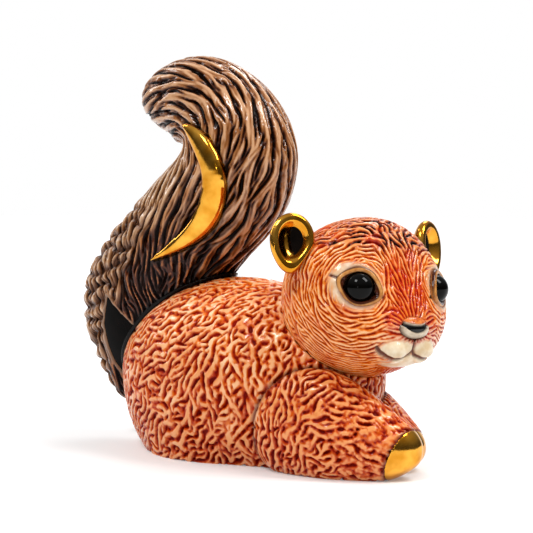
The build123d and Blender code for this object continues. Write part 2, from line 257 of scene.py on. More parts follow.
def line_gap(places, line):
    """How far flat places are from a line through some points."""
    best = np.full(len(places), 1e9)
    line = np.array(line, float)
    for start, end in zip(line[:-1], line[1:]):
        run = end - start
        share = np.clip(((places - start) @ run) / (run @ run), 0, 1)
        best = np.minimum(best, np.linalg.norm(places - start - share[:, None] * run, axis=1))
    return best


# %% [markdown]
# ## Carving fur
# Hair in clay is a field of grooves that run side by side, fork and end. Such a pattern grows by itself:
# each point looks at its neighbours, agrees with those ahead and behind along the lie of the hair, and
# disagrees with those half a strand to the side. A few rounds turn random speckle into strands. First the
# neighbours are found, by sorting the points into small cubes.

# %% Neighbours on a skin
def neighbours(points, reach):
    """All pairs of points nearer than reach, a share at a time, as two arrays of their numbers."""
    cube = np.floor(points / reach).astype(np.int64)
    cube -= cube.min(0) - 1
    span = cube.max(0) + 2
    key = (cube[:, 0] * span[1] + cube[:, 1]) * span[2] + cube[:, 2]
    order = np.argsort(key, kind="stable")
    ranked = key[order]
    for x in (-1, 0, 1):
        for y in (-1, 0, 1):
            for z in (-1, 0, 1):
                wanted = key + (x * span[1] + y) * span[2] + z
                start = np.searchsorted(ranked, wanted, "left")
                count = np.searchsorted(ranked, wanted, "right") - start
                first = np.repeat(np.arange(len(points)), count)
                place = np.arange(count.sum()) - np.repeat(np.cumsum(count) - count, count)
                second = order[np.repeat(start, count) + place]
                gap = points[second] - points[first]
                near = (gap * gap).sum(1) < reach * reach
                yield first[near], second[near]


# %% [markdown]
# ## Growing the strands
# The weight of a pair is a wave to the side, one strand wide, under a soft bell that is longer along the
# hair. So two points on one strand pull together, and two that lie half a strand apart push each other off.
# Weak pairs are left out, which saves memory and changes nothing that can be seen.

# %% Strands
bell_aside = 0.36  # the bell's width to the side, in strands
weakest = 0.01  # the least weight that a pair is kept for
contrast = 6  # how hard each round drives the field to ridge or groove
full_ridge = 0.93  # the share of points that lie below the full height of a ridge


def strands(points, lie, width, stretch, seed, rounds):
    """A field from -1 in a groove to 1 on a ridge.

    The width is from ridge to ridge, and the stretch is how far a strand holds its line, in widths.
    """
    size = len(points)
    total = np.zeros(size)
    pairs = []
    for first, second in neighbours(points, float(width.max())):
        gap = (points[second] - points[first]) / width[first][:, None]
        ahead = (gap * lie[first]).sum(1)
        aside = np.sqrt(np.maximum((gap * gap).sum(1) - ahead * ahead, 0))
        weight = np.exp(-0.5 * (ahead / stretch[first]) ** 2 - 0.5 * (aside / bell_aside) ** 2)
        weight = weight * np.cos(2 * np.pi * aside)
        strong = np.abs(weight) > weakest
        first, second, weight = first[strong], second[strong], weight[strong]
        total += np.bincount(first, np.abs(weight), size)
        pairs.append((first.astype(np.int32), second.astype(np.int32), weight.astype(np.float32)))

    def agreed(field):
        """Each point's field after it has heard its neighbours."""
        heard = np.zeros(size)
        for first, second, weight in pairs:
            heard += np.bincount(first, weight * field[second], size)
        return heard / total

    field = np.random.default_rng(seed).normal(0, 1, size)
    for _ in range(rounds):
        field = np.tanh(contrast * agreed(field))
    field = agreed(field)
    return np.clip(field / np.quantile(np.abs(field), full_ridge), -1, 1)


# %% Soft noise, a turned lie and the cut
waves = 7  # sine waves in each octave of the noise


def soft_noise(points, size, seed, octaves=2):
    """A smooth random field of about -1 to 1 whose hills are size millimetres apart."""
    pick = np.random.default_rng(seed)
    value = np.zeros(len(points))
    for octave in range(octaves):
        for _ in range(waves):
            way = pick.normal(0, 1, 3)
            way *= 2 * np.pi / size * 2 ** octave / np.linalg.norm(way)
            value += np.sin(points @ way + pick.uniform(0, 2 * np.pi)) / 2 ** octave
    return value / 4.0


def swung(lie, normals, angle):
    """A lie turned about the normals by an angle at each point, in degrees."""
    angle = np.radians(angle)[:, None]
    return lie * np.cos(angle) + np.cross(normals, lie) * np.sin(angle)


groove_foot, shoulder = -0.95, 0.2  # the field at the foot of a groove's wall and at the top of it


def carve(piece, points, normals, field, depth, lift):
    """Cuts the grooves of a field into a piece: broad ridges with soft shoulders, and narrow grooves."""
    ridge = 0.8 * ease(field, groove_foot, shoulder) + 0.2 * ease(field, -0.2, 1.0)
    place_points(piece, points + normals * ((ridge - 1) * depth + lift)[:, None])
    return ridge


# %% [markdown]
# ## The body and the forelegs
# Their fur is short and curly. The curls lie along the back, rise towards the shoulder and run down the
# forelegs to the paws. A slow swing of the lie makes the strands wave, and a short stretch breaks them up.

# %% Curly fur
def curls(name, node, grain, aim, width, stretch, swing, depth, seed, beside):
    """A carved skin that stands for a casting.

    aim(points) gives the lie of its hair, and swing is how far that waves to both sides, in degrees.
    The glaze is darkened where the skin meets the castings beside it, as pooled glaze and as painted shade of
    the joint.
    """
    piece = remeshed(without_hollow(casting(node)), name, grain)
    points, normals = points_of(piece), normals_of(piece)
    lie = lie_flat(aim(points), normals)
    lie = swung(lie, normals, swing * soft_noise(points, 4.2, seed + 1, octaves=3))
    wide = width * (1 + 0.25 * soft_noise(points, 5.0, seed + 3))
    field = strands(points, lie, wide, stretch(points), seed, rounds=3)
    field += 0.6 * soft_noise(points, 1.8, seed + 4) + 0.35 * soft_noise(points, 3.4, seed + 6) + 0.22
    deep = depth * (1 + 0.35 * soft_noise(points, 6.0, seed + 2))
    ridge = carve(piece, points, normals, field, deep, lift=0.15)
    store(piece, "relief", ridge)
    # painted shade: near the castings beside it the glaze is darkened, as pooled glaze and as the shade where
    # pieces meet
    store(piece, "pooled_glaze_and_shade", closeness(points, beside, 0.9))
    ahead, high = points[:, 0], points[:, 2]
    deep_colour = ease(-high, -30, -6) * 0.8 + ease(-ahead, 8, 34) * 0.6 + ease(ahead, 16, 28) * 0.8
    store(piece, "warm", np.clip(deep_colour + 0.35 * soft_noise(points, 8.0, seed + 5), 0, 1))
    return piece


def body_aim(points):
    """Low and forward over the rump and back, steeper towards the shoulder."""
    rise = np.radians(35 + 45 * ease(points[:, 0], -10, 22))
    return np.column_stack([np.cos(rise), np.zeros(len(points)), np.sin(rise)])


def leg_aim(points):
    """Steep at the elbow, turning down and forward to the paw."""
    rise = np.radians(80 - 105 * ease(points[:, 0], 22, 44))
    return np.column_stack([np.cos(rise), 0.25 * np.sign(-points[:, 1]), np.sin(rise)])


short_curl = 0.42  # how far a curl holds its line, in its own widths


def body_stretch(points):
    """Short curls everywhere."""
    return np.full(len(points), short_curl)


def leg_stretch(points):
    """Short curls that draw out to longer strands at the wrist."""
    return short_curl + 0.8 * ease(points[:, 0], 34, 43)


body_fur = curls("body_fur", "body_shell", grain=0.3, aim=body_aim, width=1.6, stretch=body_stretch,
                 swing=70, depth=0.75, seed=11, beside=["tail_seam", "right_foreleg", "left_foreleg"])
right_leg_fur = curls("right_leg_fur", "right_foreleg", grain=0.25, aim=leg_aim, width=1.5, stretch=leg_stretch,
                      swing=60, depth=0.7, seed=21, beside=["body_shell", "right_paw_tip", "head_shell"])
left_leg_fur = curls("left_leg_fur", "left_foreleg", grain=0.25, aim=leg_aim, width=1.2, stretch=leg_stretch,
                     swing=44, depth=0.34, seed=31, beside=["body_shell", "left_paw_tip", "head_shell"])

# %% [markdown]
# ## The tail
# The plume's hair is long. It follows the bend of the tail from the root over the top into the curl, and
# leans outwards on both sides of the middle groove, as the barbs of a feather do. The bend is given by a
# few points down the middle of the plume.

# %% Lie of the plume
plume_way = np.array([(-43, 9), (-40, 22), (-34, 34), (-27, 47), (-16, 58), (-9.5, 68), (-9.5, 76), (-16, 81.5),
                      (-25, 83), (-36, 80)], float)
drawn_tail_x = -24.4  # where the middle of the tail's box lay when the way was drawn
plume_way[:, 0] += tail_at[0] - drawn_tail_x


def plume_place(points):
    """For each point: the bend's direction there, how far behind its middle it lies, and how far along."""
    best = np.full(len(points), 1e9)
    direction = np.zeros((len(points), 2))
    behind, along = np.zeros(len(points)), np.zeros(len(points))
    passed = 0.0
    flat = points[:, [0, 2]]
    turns = np.gradient(plume_way, axis=0)
    for i in range(len(plume_way) - 1):
        start, run = plume_way[i], plume_way[i + 1] - plume_way[i]
        share = np.clip(((flat - start) @ run) / (run @ run), 0, 1)
        gap = flat - start - share[:, None] * run
        far = (gap * gap).sum(1)
        near = far < best
        best[near] = far[near]
        way = unit(turns[i] * (1 - share[:, None]) + turns[i + 1] * share[:, None])
        direction[near] = way[near]
        side = way[:, 1] * -gap[:, 0] + way[:, 0] * gap[:, 1]
        behind[near] = side[near]
        along[near] = (passed + share * np.linalg.norm(run))[near]
        passed += np.linalg.norm(run)
    return direction, behind, along


# %% Lie of the tail's hair
tail_fur = remeshed(without_hollow(casting("tail_shell")), "tail_fur", 0.33)
points, normals = points_of(tail_fur), normals_of(tail_fur)
direction, behind, along = plume_place(points)
lower = ease(-along, -52, -38)
front_low = lower * ease(-behind, -3, 2)
rear_low = lower * ease(behind, 1, 6)
fan = np.clip(behind * 3.2, -30, 38) * (0.6 + 0.5 * rear_low) * (1 - front_low)
lean = np.radians(fan + 8 + 36 * front_low)
lie = np.column_stack([direction[:, 0] * np.cos(lean) - direction[:, 1] * np.sin(lean), np.zeros(len(points)),
                       direction[:, 0] * np.sin(lean) + direction[:, 1] * np.cos(lean)])
lie = swung(lie_flat(lie, normals), normals, (20 + 22 * front_low) * soft_noise(points, 7.0, 42))
print("the hair of the tail leans between", np.degrees([lean.min(), lean.max()]).round(), "degrees")

# %% [markdown]
# ## Locks and tufts
# The plume has two sizes of hair at once: broad locks, and fine strands on them. Low behind, the locks end
# in rows of round tufts that overlap like shingles. The clay stays smooth and thin where the gilded
# crescents lie, and the panels have a plain rim.

# %% Carve the tail
tuft_rise = 4.9  # from one row of tufts to the next
ones = np.ones(len(points))
lock_width = 2.5 - 1.1 * front_low + 0.35 * soft_noise(points, 9.0, 43)
locks = strands(points, lie, lock_width, ones, 41, rounds=6)
fine = strands(points, lie, 1.05 * ones, 1.3 * ones, 47, rounds=4)
field = np.clip(0.8 * locks + 0.5 * fine + 0.25 * soft_noise(points, 4.0, 46) + 0.1, -1, 1)
tuft = 0.5 + 0.5 * np.sin(2 * np.pi * (along + 0.75 * behind) / tuft_rise + 2.0 * soft_noise(points, 9.0, 45))
tuft = tuft ** 0.6
edge = closeness(points, ["right_tail_crescent", "left_tail_crescent"], 0.8)
rim = closeness(points, ["right_tail_panel", "left_tail_panel"], 0.9)
field = field * (1 - ease(rim, 0.1, 0.5)) + ease(rim, 0.1, 0.5)
depth = 0.85 * (1 + 0.3 * soft_noise(points, 8.0, 44)) * (1 - 0.3 * front_low) * (1 - 0.8 * edge)
between_tufts = rear_low * (1 - tuft) * (1.0 + 0.3 * soft_noise(points, 6.0, 49)) * (1 - rim)
tail_ridge = carve(tail_fur, points - normals * between_tufts[:, None], normals, field, depth, lift=0.15)
store(tail_fur, "relief", tail_ridge * (1 - 0.5 * rear_low * (1 - tuft)))
store(tail_fur, "rear", np.clip(ease(behind, 0, 6) * ease(-along, -74, -60), 0, 1))
ragged = 5 * soft_noise(points, 7.0, 48)
store(tail_fur, "umber", ease(-along + ragged, -66, -48) * ease(-behind + 0.4 * ragged, -5, 0))
# painted shade: darker beside the crescents, the seam and the body, as pooled glaze and as the shade where
# pieces meet
store(tail_fur, "pooled_glaze_and_shade", np.maximum(edge, closeness(points, ["tail_seam", "body_shell"], 0.8)))
store(tail_fur, "rim", ease(rim, 0.25, 0.6))

# %% [markdown]
# ## The head
# Its hair is fine and combed. Around each eye the lines run in rings that widen over the cheek. Along the
# bridge they run straight to the nose, and on the crown they break into short curls. The skin round the
# eyes and on the lips is bare.

# %% Lie of the head's hair
def head_view(points):
    """Points in the head's own directions: ahead, left and up from between the eyes."""
    return (points - brow) @ head_axes.T


head_fur = remeshed(without_hollow(casting("head_shell")), "head_fur", 0.23)
points, normals = points_of(head_fur), normals_of(head_fur)
own = head_view(points)
from_eye = points - np.where(own[:, 1:2] < 0, right_eye_at, left_eye_at)
rings = lie_flat(np.cross(normals, from_eye), normals)
to_nose = lie_flat(nose_at - points, normals)
to_nose *= np.where((to_nose * rings).sum(1) < 0, -1, 1)[:, None]
bridge = ease(6.5 - np.abs(own[:, 1]), 0, 3.5) * ease(own[:, 0], -7, -1)
above_lip = [5.4, 0, -8.1]
bridge = np.maximum(bridge, ease(-np.linalg.norm(own - above_lip, axis=1), -8, -5.5))
crown = ease(own[:, 2] + 0.8 * soft_noise(points, 5.0, 58), 6.4, 9.4)
nape = ease(-own[:, 0], 10, 14)
shaggy = np.maximum(crown, nape)
lie = lie_flat(rings * (1 - bridge)[:, None] + to_nose * bridge[:, None], normals)
lie = swung(lie, normals, (25 + 28 * shaggy) * soft_noise(points, 3.8, 52, octaves=3))
hair_width = (0.88 + 0.54 * shaggy) * (1 + 0.22 * soft_noise(points, 4.0, 53))
field = strands(points, lie, hair_width, 0.75 - 0.3 * shaggy, 51, rounds=4)
field += (0.4 + 0.1 * shaggy) * soft_noise(points, 2.0, 54) + 0.15
print("combed to the nose:", (bridge > 0.5).mean().round(2), "and shaggy:", (shaggy > 0.5).mean().round(2))

# %% [markdown]
# ## The face
# The eye sits in a pale almond of bare skin whose corners are drawn out into a crease, and the mouth is a
# line under two round pads. All of them are drawn in flat views of the head, square to what they mark, and
# mirrored by taking the distance from the middle.

# %% Bare skin round the eyes
eye_out = 10.28  # from the middle of the head to the middle of an eye
eye_ahead, eye_inward = 0.56, 0.83  # the flat view's long direction, which runs ahead and towards the middle
slant = math.radians(-20)  # the almond's inner corner lies lower than its outer one
inward = np.where(own[:, 1] < 0, 1.0, -1.0)
beside_eye = own - np.column_stack([np.zeros(len(own)), -eye_out * inward, np.zeros(len(own))])
across_eye = eye_ahead * beside_eye[:, 0] + eye_inward * inward * beside_eye[:, 1]
almond_long = (across_eye + 0.2) * math.cos(slant) + (beside_eye[:, 2] - 0.2) * math.sin(slant)
almond_high = -(across_eye + 0.2) * math.sin(slant) + (beside_eye[:, 2] - 0.2) * math.cos(slant)
almond_view = np.column_stack([almond_long, almond_high])
on_side = (np.abs(own[:, 1]) > 1.5) & (own[:, 0] > -6)
almond = np.sqrt(((almond_long + 0.6) / 6.1) ** 2 + ((almond_high + 0.1) / 5.0) ** 2)
bare_eye = np.where(on_side, 1 - ease(almond + 0.07 * field, 0.81, 1.03), 0)
outer_crease, inner_crease = [(-3.6, 0.2), (-6.2, 0.0)], [(3.6, -0.2), (5.4, 0.0)]
corner_gap = np.minimum(line_gap(almond_view, outer_crease), line_gap(almond_view, inner_crease))
corner = np.where(on_side, 1 - ease(corner_gap, 0.12, 0.5), 0)
print("bare skin round the eyes:", int((bare_eye > 0.5).sum()), "points")

# %% Mouth, lips and chin
side_up = np.column_stack([np.abs(own[:, 1]), own[:, 2]])
in_front = own[:, 0] > 0.5
mouth_line = [(0.0, -10.4), (0.0, -12.4), (0.7, -13.4), (2.9, -14.3),
              (4.7, -14.4), (6.1, -13.8), (7.2, -12.8), (7.8, -12.1)]
mouth = np.where(in_front, 1 - ease(line_gap(side_up, mouth_line), 0.14, 0.5), 0)
pad_far = np.linalg.norm((side_up - [3.7, -12.5]) / [3.9, 2.1], axis=1)
pad = np.where(in_front, 1 - ease(pad_far + 0.12 * field, 0.8, 1.1), 0)
chin_far = np.linalg.norm((side_up - [0, -15.2]) / [5.5, 1.9], axis=1)
chin = np.where(in_front, 1 - ease(chin_far + 0.12 * field, 0.75, 1.1), 0)
muzzle_far = np.linalg.norm((side_up - [3.0, -11.0]) / [6.5, 4.2], axis=1)
muzzle = np.where(in_front, ease(-muzzle_far, -1.2, -0.6), 0)
bare = np.clip(bare_eye + pad + chin, 0, 1)
print("bare skin on lips and chin:", int(((pad + chin) > 0.5).sum()), "points")

# %% [markdown]
# ## Cutting the head
# The lips swell like two small cushions and a collar of clay holds each ear, so those are raised. The mouth
# line and the creases at the eyes are pressed in. Then the hair is cut, deep on the crown and nape, shallow
# on the muzzle and hardly at all on bare skin.

# %% Carve the head
collar = closeness(points, ["right_ear", "left_ear"], 2.4)
cushion = np.where(in_front, ease(-pad_far, -1.15, 0.0), 0)
swell = 0.45 * cushion + 1.0 * ease(collar, 0.1, 0.8) - 0.5 * mouth - 0.3 * corner
depth = (0.32 + 0.42 * shaggy) * (1 + 0.45 * soft_noise(points, 4.0, 59))
depth = depth * (1 - 0.97 * bare) * (1 - 0.5 * muzzle)
ridge = carve(head_fur, points + normals * swell[:, None], normals, field, depth, lift=0.08)
store(head_fur, "relief", ridge * (1 - bare) + 0.7 * bare)
store(head_fur, "pale", np.clip(0.8 * bare_eye + pad + chin + 0.45 * muzzle * ease(field, -0.2, 0.6), 0, 1))
red_bridge = bridge * ease(-own[:, 2], -12, -3)
warm = red_bridge + 0.45 * soft_noise(points, 7.0, 60) + 0.35 * nape + 0.6 * crown
store(head_fur, "warm", np.clip(warm, 0, 1))
store(head_fur, "sooty", crown * ease(0.5 * soft_noise(points, 5.0, 57) - np.abs(own[:, 1]) / 20, -0.9, -0.3))
store(head_fur, "line", np.clip(mouth + corner, 0, 1))
# painted shade: darker beside the lids and the nose, as pooled glaze and as the shade where pieces meet
store(head_fur, "pooled_glaze_and_shade", closeness(points, ["right_eyelid", "left_eyelid", "nose_pad"], 0.6))

# %% [markdown]
# ## The smooth pieces
# Gilding and enamel lie on smooth clay. Their castings are only remeshed more finely, so that the long
# reflections of the studio run over them without a facet.

# %% Smooth pieces
smooth_kinds = [  # the piece, its node, the grain of its mesh and the rounds of smoothing
    ("crescent_gold", "tail_crescent", 0.2, 6),
    ("ear_gold", "ear", 0.14, 5),
    ("paw_gold", "paw_tip", 0.16, 5),
    ("panel_enamel", "tail_panel", 0.2, 5),
    ("seam_enamel", "tail_seam", 0.14, 5),
    ("ear_enamel", "ear_lining", 0.12, 3),
    ("eye_bead", "eye", 0.14, 3),
    ("lid", "eyelid", 0.12, 3),
]
made, stands_for = {}, {}
for kind, node, grain, rounds in smooth_kinds:
    for side in ("",) if kind == "seam_enamel" else ("right_", "left_"):
        made[side + kind] = remeshed(casting(side + node), side + kind, grain, rounds)
        stands_for[side + kind] = side + node

# %% [markdown]
# ## Domed crescents
# The crescents are full and round across, as if a soft roll of clay had been pressed on. Their casting is
# flat, so each point of the face rises with its distance from the outline, along the arc of a circle. A
# Smooth modifier then takes the crease off the middle.

# %% Domes
def domed(piece, reach, height):
    """Raises the flat face of a piece towards its middle, over a reach from its outline."""
    points, normals = points_of(piece), normals_of(piece)
    outline = np.flatnonzero(np.abs(normals[:, 1]) < 0.5)
    tree = KDTree(len(outline))
    for i in outline:
        tree.insert(points[i], int(i))
    tree.balance()
    inward = np.array([min(tree.find(point)[2], reach) / reach for point in points])
    rise = height * np.sqrt(1 - (1 - inward) ** 2) * ease(np.abs(normals[:, 1]), 0.5, 0.85)
    place_points(piece, points + normals * rise[:, None])
    print(piece.name, "rises by", rise.max().round(2), "mm")


for name in ("right_crescent_gold", "left_crescent_gold"):
    domed(made[name], 3.2, 1.1)
    soften = made[name].modifiers.new("soften", "SMOOTH")
    soften.iterations = 20
    soften.factor = 0.5

# %% [markdown]
# ## Dished ears
# The ears narrow below, and the black hollow of each is a slim drop that lies nearer to the head. An ear
# faces the way in which its own points spread least. The forms are narrowed square to that.

# %% Ears
for side, toward in (("right", 1.0), ("left", -1.0)):
    hollow, shell = made[side + "_ear_enamel"], made[side + "_ear_gold"]
    points = points_of(hollow)
    centre = points.mean(0)
    facing = np.linalg.svd(points - centre, full_matrices=False)[2][2]
    upright = head_up - facing * (head_up @ facing)
    upright /= np.linalg.norm(upright)
    inner = np.cross(upright, facing)
    inner *= np.sign(inner @ head_left) * toward
    across, high = (points - centre) @ inner, (points - centre) @ upright
    slim = across * (0.52 + 0.2 * ease(high, -3, 3)) + 0.7
    place_points(hollow, points + inner * (slim - across)[:, None] + upright * (0.16 * high)[:, None])
    points = points_of(shell)
    across, high = (points - centre) @ inner, (points - centre) @ upright
    slim = (across - across.min()) * (0.9 - 0.2 * ease(-high, 0, 6)) + across.min() + 0.6 * ease(-high, 1, 7)
    place_points(shell, points + inner * (slim - across)[:, None])
    print(side, "ear is", np.ptp(slim).round(1), "mm wide and", np.ptp(high).round(1), "mm high")

# %% [markdown]
# ## Lids
# A lid is a ring of clay round the bead, drawn out towards the corners of the eye. Each point is pushed
# along the almond's long direction, and only those near that line move far, so that the ring gets two
# points and stays round between them. How far a point is from the ring's middle line is kept for the paint.

# %% Lids
lid_middle, lid_half = 3.75, 0.55  # the ring's middle line and half its width
for name, side in (("right_lid", 1.0), ("left_lid", -1.0)):
    lid = made[name]
    points, normals = points_of(lid), normals_of(lid)
    beside = head_view(points) - [0, -eye_out * side, 0]
    across = eye_ahead * beside[:, 0] + eye_inward * side * beside[:, 1]
    turned = (across * math.cos(slant) + beside[:, 2] * math.sin(slant),
              -across * math.sin(slant) + beside[:, 2] * math.cos(slant))
    round_share = np.hypot(*turned)
    push = 0.9 * np.abs(turned[0] / np.maximum(round_share, 0.1)) ** 6
    flat_way = head_axes[0] * eye_ahead * math.cos(slant) + head_axes[1] * eye_inward * side * math.cos(slant)
    long_way = flat_way + head_axes[2] * math.sin(slant)
    place_points(lid, points + np.sign(turned[0])[:, None] * push[:, None] * long_way)
    store(lid, "rim", np.clip(np.abs(round_share - lid_middle) / lid_half, 0, 1))
    print(name, "is drawn out by", push.max().round(2), "mm")

# %% [markdown]
# ## Nose
# The nose is a low pad. Hair comes down over its top, a dark crescent of a nostril is cut under that, and
# its lower lip is bare and grey. The brim of the hair is a shallow curve in the head's own directions, and
# everything else is measured down from it.

# %% Nose
nose = remeshed(casting("nose_pad"), "nose", 0.11, 3)
points, normals = points_of(nose), normals_of(nose)
own = head_view(points)
brim = -7.1 + 0.07 * own[:, 1] ** 2
under = brim - own[:, 2]
opening = 1.85 * np.clip(1 - (own[:, 1] / 4.1) ** 2, 0, 1)
nostril = ease(under, 0.0, 0.25) * (1 - ease(under, opening - 0.15, opening + 0.15)) * (opening > 0.1)
hair = 1 - ease(under, -0.15, 0.05)
wider = head_axes[1] * (own[:, 1] * 0.16)[:, None]
place_points(nose, points + wider + normals * (0.25 * hair - 0.5 * nostril)[:, None])
store(nose, "nostril", nostril)
store(nose, "hair", hair)
store(nose, "rim", closeness(points, ["head_shell"], 0.8))
made["nose"] = nose
print("the nose is", np.ptp(own[:, 1]).round(1), "mm wide and its nostril", opening.max().round(2), "mm deep")

# %% [markdown]
# ## Glazes
# A colour is written as it looks on a screen and turned into Blender's linear light. Each helper adds one
# node to a tree and gives back its output, so that a material reads like a recipe. The ripple that every
# fired glaze has is one group, which each material uses with its own size.

# %% Colours and nodes
def tint(code):
    """A linear colour from a screen colour such as F0B080."""
    parts = [int(code[i:i + 2], 16) / 255 for i in (0, 2, 4)]
    linear = [part / 12.92 if part <= 0.04045 else ((part + 0.055) / 1.055) ** 2.4 for part in parts]
    return (*linear, 1.0)


def feed(tree, value, socket):
    """Sets a socket to a number or a screen colour, or links another socket to it."""
    if isinstance(value, str):
        socket.default_value = tint(value)
    elif isinstance(value, (int, float)):
        socket.default_value = value
    else:
        tree.links.new(value, socket)


def reckon(tree, kind, *values):
    """A math node over numbers and sockets."""
    node = tree.nodes.new("ShaderNodeMath")
    node.operation = kind
    for value, socket in zip(values, node.inputs):
        feed(tree, value, socket)
    return node.outputs[0]


def step(tree, value, low, high, least=0.0, most=1.0, curve="LINEAR"):
    """A value brought from the range low to high into the range least to most."""
    node = tree.nodes.new("ShaderNodeMapRange")
    node.interpolation_type = curve
    for name, number in (("From Min", low), ("From Max", high), ("To Min", least), ("To Max", most)):
        node.inputs[name].default_value = number
    tree.links.new(value, node.inputs["Value"])
    return node.outputs["Result"]


def noise(tree, size):
    """A soft noise over the piece's own places; a larger size gives finer noise."""
    place, node = tree.nodes.new("ShaderNodeTexCoord"), tree.nodes.new("ShaderNodeTexNoise")
    tree.links.new(place.outputs["Object"], node.inputs["Vector"])
    feed(tree, size, node.inputs["Scale"])
    return node.outputs["Fac"]


def glaze_ripple_group(pit_share=0.25):
    """A group that puts out the height of a fired glaze's slow ripple and its small pits."""
    group = bpy.data.node_groups.new("glaze ripple", "ShaderNodeTree")
    for name, size in (("Ripple Size", 900), ("Pit Size", 5000)):
        group.interface.new_socket(name, in_out="INPUT", socket_type="NodeSocketFloat").default_value = size
    group.interface.new_socket("Height", in_out="OUTPUT", socket_type="NodeSocketFloat")
    inputs, outputs = group.nodes.new("NodeGroupInput"), group.nodes.new("NodeGroupOutput")
    slow, pits = noise(group, inputs.outputs["Ripple Size"]), noise(group, inputs.outputs["Pit Size"])
    group.links.new(reckon(group, "MULTIPLY_ADD", pits, pit_share, slow), outputs.inputs["Height"])
    return group


glaze_ripple = glaze_ripple_group()
print("the group", glaze_ripple.name, "has", len(glaze_ripple.nodes), "nodes")

# %% [markdown]
# ## A glaze to start from
# A fired glaze is a clear coat over a coloured body. On carved fur the coat is seen as small bright lights
# on the ridges, while the grooves stay matt and dark, so the coat's weight follows the relief. The plain
# reflection below the coat is kept weak, or it would lay a grey veil over the dark grooves.

# %% A plain glaze and its parts
def new_glaze(name, roughness, coat, bump=0.1, ripple_size=900, metallic=0.0, specular=0.05):
    """A material with a rippled surface; gives the material, its node tree and its shader."""
    material = bpy.data.materials.new(name)
    material.use_nodes = True
    tree = material.node_tree
    shader = tree.nodes["Principled BSDF"]
    shader.inputs["Roughness"].default_value = roughness
    shader.inputs["Metallic"].default_value = metallic
    shader.inputs["Coat Weight"].default_value = coat
    shader.inputs["Coat Roughness"].default_value = 0.08
    shader.inputs["Specular IOR Level"].default_value = specular
    ripple = tree.nodes.new("ShaderNodeGroup")
    ripple.node_tree = glaze_ripple
    ripple.inputs["Ripple Size"].default_value = ripple_size
    raised = tree.nodes.new("ShaderNodeBump")
    raised.inputs["Strength"].default_value = bump
    raised.inputs["Distance"].default_value = 0.2 * MM
    tree.links.new(ripple.outputs["Height"], raised.inputs["Height"])
    tree.links.new(raised.outputs["Normal"], shader.inputs["Normal"])
    return material, tree, shader


def ramp(tree, value, stops):
    """A colour ramp over a value, with stops of place and screen colour."""
    colours = tree.nodes.new("ShaderNodeValToRGB")
    band = colours.color_ramp
    while len(band.elements) < len(stops):
        band.elements.new(0.5)
    for element, (place, code) in zip(band.elements, stops):
        element.position = place
        element.color = tint(code)
    tree.links.new(value, colours.inputs["Fac"])
    return colours.outputs["Color"]


def blend(tree, share, base, over):
    """A mix of two colours by a share."""
    mix = tree.nodes.new("ShaderNodeMix")
    mix.data_type = "RGBA"
    tree.links.new(share, mix.inputs["Factor"])
    feed(tree, base, mix.inputs[6])
    feed(tree, over, mix.inputs[7])
    return mix.outputs[2]


def attribute(tree, name):
    """The value that a skin keeps under a name."""
    layer = tree.nodes.new("ShaderNodeAttribute")
    layer.attribute_name = name
    return layer.outputs["Fac"]


def cloud(tree, size):
    """A soft noise over the piece as a share from 0 to 1."""
    return step(tree, noise(tree, size), 0.35, 0.65)


def shiny_ridges(tree, shader, relief, most):
    """Lets the coat shine on the ridges and not in the grooves, where wiped glaze stays thin and shaded."""
    tree.links.new(step(tree, relief, 0.35, 0.95, 0.0, most), shader.inputs["Coat Weight"])


# %% [markdown]
# ## Fur glazes
# The maker brushes a dark glaze into the carving and wipes the ridges clean with a sponge. So colour
# follows relief: a ramp turns the height of the carving into glaze, and more ramps and masks give each
# casting its darker, redder or greyer zones.

# %% Body and forelegs
def body_glaze():
    """Peach ridges over dark orange grooves, deeper low on the body, and darkened where castings meet as pooled
    glaze and painted shade.
    """
    material, tree, shader = new_glaze("body fur glaze", 0.32, 0.8)
    relief = attribute(tree, "relief")
    shiny_ridges(tree, shader, relief, 0.9)
    pale = ramp(tree, relief, [(0.15, "921200"), (0.5, "C63C00"), (0.85, "EC8024"), (1.0, "FCCC9C")])
    warm = ramp(tree, relief, [(0.15, "6A0600"), (0.5, "A62200"), (0.84, "CE5000"), (1.0, "EE9A58")])
    colour = blend(tree, attribute(tree, "warm"), blend(tree, cloud(tree, 160), pale, warm), warm)
    # painted shade, with pooled glaze: the colour darkens to a dark red-brown where castings meet
    tree.links.new(blend(tree, attribute(tree, "pooled_glaze_and_shade"), colour, "641400"), shader.inputs["Base Color"])
    return material


# %% Tail
def tail_glaze():
    """Tan strands over near-black grooves, greyer behind, umber low in front."""
    material, tree, shader = new_glaze("tail fur glaze", 0.26, 0.9)
    relief = attribute(tree, "relief")
    less_coat = -0.3  # the umber zone shines only on the tops of its ridges
    shiny_ridges(tree, shader, reckon(tree, "MULTIPLY_ADD", attribute(tree, "umber"), less_coat, relief), 1.0)
    front = ramp(tree, relief, [(0.25, "0C0300"), (0.58, "421C08"), (0.86, "90582C"), (1.0, "CC9C74")])
    rear = ramp(tree, relief, [(0.25, "100400"), (0.56, "583014"), (0.82, "9C6C44"), (1.0, "D2AC88")])
    umber = ramp(tree, relief, [(0.3, "060100"), (0.8, "1E0801"), (0.94, "54240A"), (1.0, "A8642E")])
    colour = blend(tree, attribute(tree, "rear"), front, rear)
    # one of these masks darkens the colour to near-black where castings meet: pooled glaze and painted shade
    for mask, over in (("umber", umber), ("pooled_glaze_and_shade", "0C0402"), ("rim", "8C6A50")):
        colour = blend(tree, attribute(tree, mask), colour, over)
    tree.links.new(colour, shader.inputs["Base Color"])
    return material


